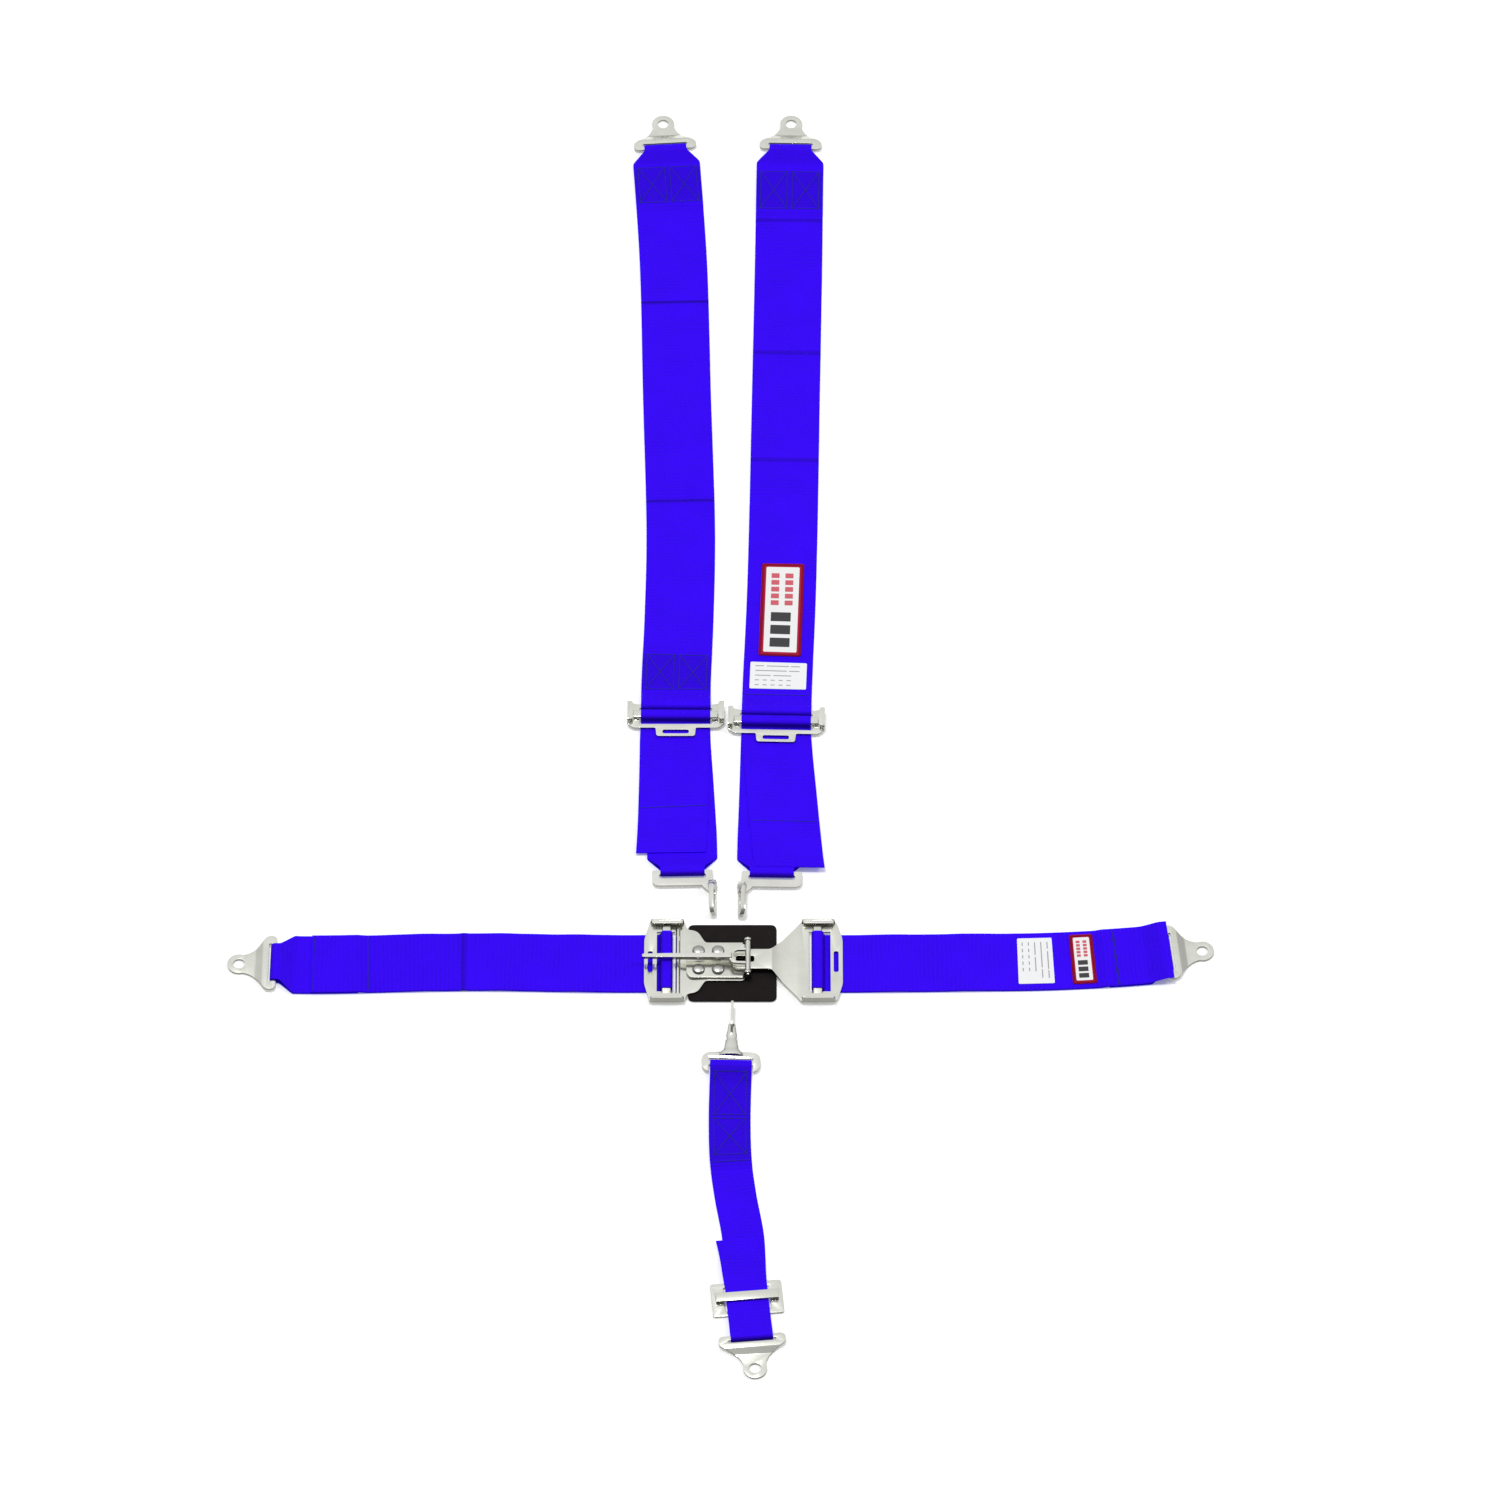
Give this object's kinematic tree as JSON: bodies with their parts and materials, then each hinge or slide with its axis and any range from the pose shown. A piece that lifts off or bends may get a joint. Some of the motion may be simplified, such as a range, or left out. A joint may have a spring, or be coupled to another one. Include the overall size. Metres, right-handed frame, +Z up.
{
  "type": "racing harness",
  "caption": "Racing harness laid flat: lap belt with lever latch, two shoulder belts with hooks and adjusters, and an anti-submarine strap, each on a bolt-on bracket.",
  "frame": {"origin": "on the floor under the middle of the laid-out harness", "axes": "+X along the lap belt towards the link side, +Y up the shoulder belts, +Z up from the floor"},
  "size_m": [1.0618, 1.7541, 0.0184],
  "materials": {
    "webbing": "woven webbing, saturated blue",
    "steel": "bright zinc-plated pressed steel",
    "pad": "near-black felted pad",
    "label": "white woven label with plain grey lines",
    "patch": "embroidered patch with a crimson edge"
  },
  "bodies": {
    "latch": {"latch_frame": "steel", "latch_body": "steel", "latch_rivet_1": "steel", "latch_rivet_2": "steel", "latch_rivet_3": "steel", "latch_rivet_4": "steel", "latch_pad": "pad", "latch_pivot_pin": "steel"},
    "lever": {"latch_lever": "steel"},
    "lap_left": {"lap_strap_left": "webbing", "latch_slide_bar": "steel"},
    "lap_left_bracket": {"lap_bracket_left": "steel"},
    "link": {"link_plate": "steel"},
    "lap_right": {"lap_strap_right": "webbing", "link_slide_bar": "steel", "lap_label": "label", "lap_patch": "patch"},
    "lap_right_bracket": {"lap_bracket_right": "steel"},
    "shoulder_left": {"shoulder_strap_left": "webbing"},
    "shoulder_left_bracket": {"shoulder_bracket_left": "steel"},
    "adjuster_left": {"adjuster_frame_left": "steel"},
    "lower_left": {"lower_strap_left": "webbing", "adjuster_slide_bar_left": "steel"},
    "hook_left": {"shoulder_hook_left": "steel"},
    "shoulder_right": {"shoulder_strap_right": "webbing", "shoulder_label": "label", "shoulder_patch": "patch"},
    "shoulder_right_bracket": {"shoulder_bracket_right": "steel"},
    "adjuster_right": {"adjuster_frame_right": "steel"},
    "lower_right": {"lower_strap_right": "webbing", "adjuster_slide_bar_right": "steel"},
    "hook_right": {"shoulder_hook_right": "steel"},
    "sub": {"sub_strap": "webbing"},
    "sub_top": {"sub_fitting": "steel"},
    "sub_adjuster": {"sub_slide": "steel"},
    "sub_anchor": {"sub_bracket": "steel"}
  },
  "joints": [
    {"name": "lever_pivot", "type": "hinge", "parent": "latch", "child": "lever", "pos_m": [0.029, -0.336, 0.0152], "axis": [0, 1, 0], "range_deg": [0, 150]},
    {"name": "link_release", "type": "slide", "parent": "latch", "child": "link", "axis": [1, 0, 0], "range_m": [0, 0.021]},
    {"name": "lap_left_slide", "type": "slide", "parent": "latch", "child": "lap_left", "axis": [1, 0, 0], "range_m": [-0.0015, 0.0015]},
    {"name": "lap_left_bracket_swing", "type": "hinge", "parent": "lap_left", "child": "lap_left_bracket", "pos_m": [-0.4805, -0.337, 0.0044], "axis": [0.0119, 0.9999, 0], "range_deg": [-80, 80]},
    {"name": "lap_right_slide", "type": "slide", "parent": "link", "child": "lap_right", "axis": [1, 0, 0], "range_m": [-0.0015, 0.0015]},
    {"name": "lap_right_bracket_swing", "type": "hinge", "parent": "lap_right", "child": "lap_right_bracket", "pos_m": [0.4805, -0.323, 0.0044], "axis": [0.0986, -0.9951, 0], "range_deg": [-80, 30]},
    {"name": "shoulder_left_lift_off", "type": "slide", "parent": "latch", "child": "shoulder_left", "axis": [0, 1, 0], "range_m": [-0.006, 0.15]},
    {"name": "shoulder_left_bracket_swing", "type": "hinge", "parent": "shoulder_left", "child": "shoulder_left_bracket", "pos_m": [-0.0655, 0.8265, 0.0044], "axis": [0.9977, 0.0683, 0], "range_deg": [-80, 80]},
    {"name": "adjuster_left_tilt", "type": "hinge", "parent": "shoulder_left", "child": "adjuster_left", "pos_m": [-0.05, 0.0135, 0.0044], "axis": [-1, 0, 0], "range_deg": [-60, 60]},
    {"name": "lower_left_slide", "type": "slide", "parent": "adjuster_left", "child": "lower_left", "axis": [-0.0105, -0.9999, 0], "range_m": [-0.0016, 0.0025]},
    {"name": "hook_left_swing", "type": "hinge", "parent": "lower_left", "child": "hook_left", "pos_m": [-0.0418, -0.2146, 0.0044], "axis": [-0.9998, -0.022, 0], "range_deg": [-80, 80]},
    {"name": "shoulder_right_lift_off", "type": "slide", "parent": "latch", "child": "shoulder_right", "axis": [0, 1, 0], "range_m": [-0.006, 0.15]},
    {"name": "shoulder_right_bracket_swing", "type": "hinge", "parent": "shoulder_right", "child": "shoulder_right_bracket", "pos_m": [0.0776, 0.8265, 0.0044], "axis": [0.9998, -0.0219, 0], "range_deg": [-80, 80]},
    {"name": "adjuster_right_tilt", "type": "hinge", "parent": "shoulder_right", "child": "adjuster_right", "pos_m": [0.0603, 0.0055, 0.0044], "axis": [-0.9997, 0.0234, 0], "range_deg": [-60, 60]},
    {"name": "lower_right_slide", "type": "slide", "parent": "adjuster_right", "child": "lower_right", "axis": [-0.0231, -0.9997, 0], "range_m": [-0.0016, 0.0025]},
    {"name": "hook_right_swing", "type": "hinge", "parent": "lower_right", "child": "hook_right", "pos_m": [0.055, -0.2166, 0.0044], "axis": [-0.9999, 0.0172, 0], "range_deg": [-80, 80]},
    {"name": "sub_lift_off", "type": "slide", "parent": "latch", "child": "sub", "axis": [0, -1, 0], "range_m": [-0.0055, 0.15]},
    {"name": "sub_fitting_swing", "type": "hinge", "parent": "sub", "child": "sub_top", "pos_m": [0.011, -0.4714, 0.0044], "axis": [0.9998, -0.0188, 0], "range_deg": [-80, 80]},
    {"name": "sub_slide_travel", "type": "slide", "parent": "sub", "child": "sub_adjuster", "axis": [0.0896, -0.996, 0], "range_m": [-0.02, 0.012]},
    {"name": "sub_bracket_swing", "type": "hinge", "parent": "sub", "child": "sub_anchor", "pos_m": [0.0332, -0.8268, 0.0044], "axis": [-0.9959, -0.0904, 0], "range_deg": [-80, 80]}
  ],
  "couplings": [
    {"joint": "link_release", "follows": "lever_pivot", "m_per_rad": 0.008}
  ]
}
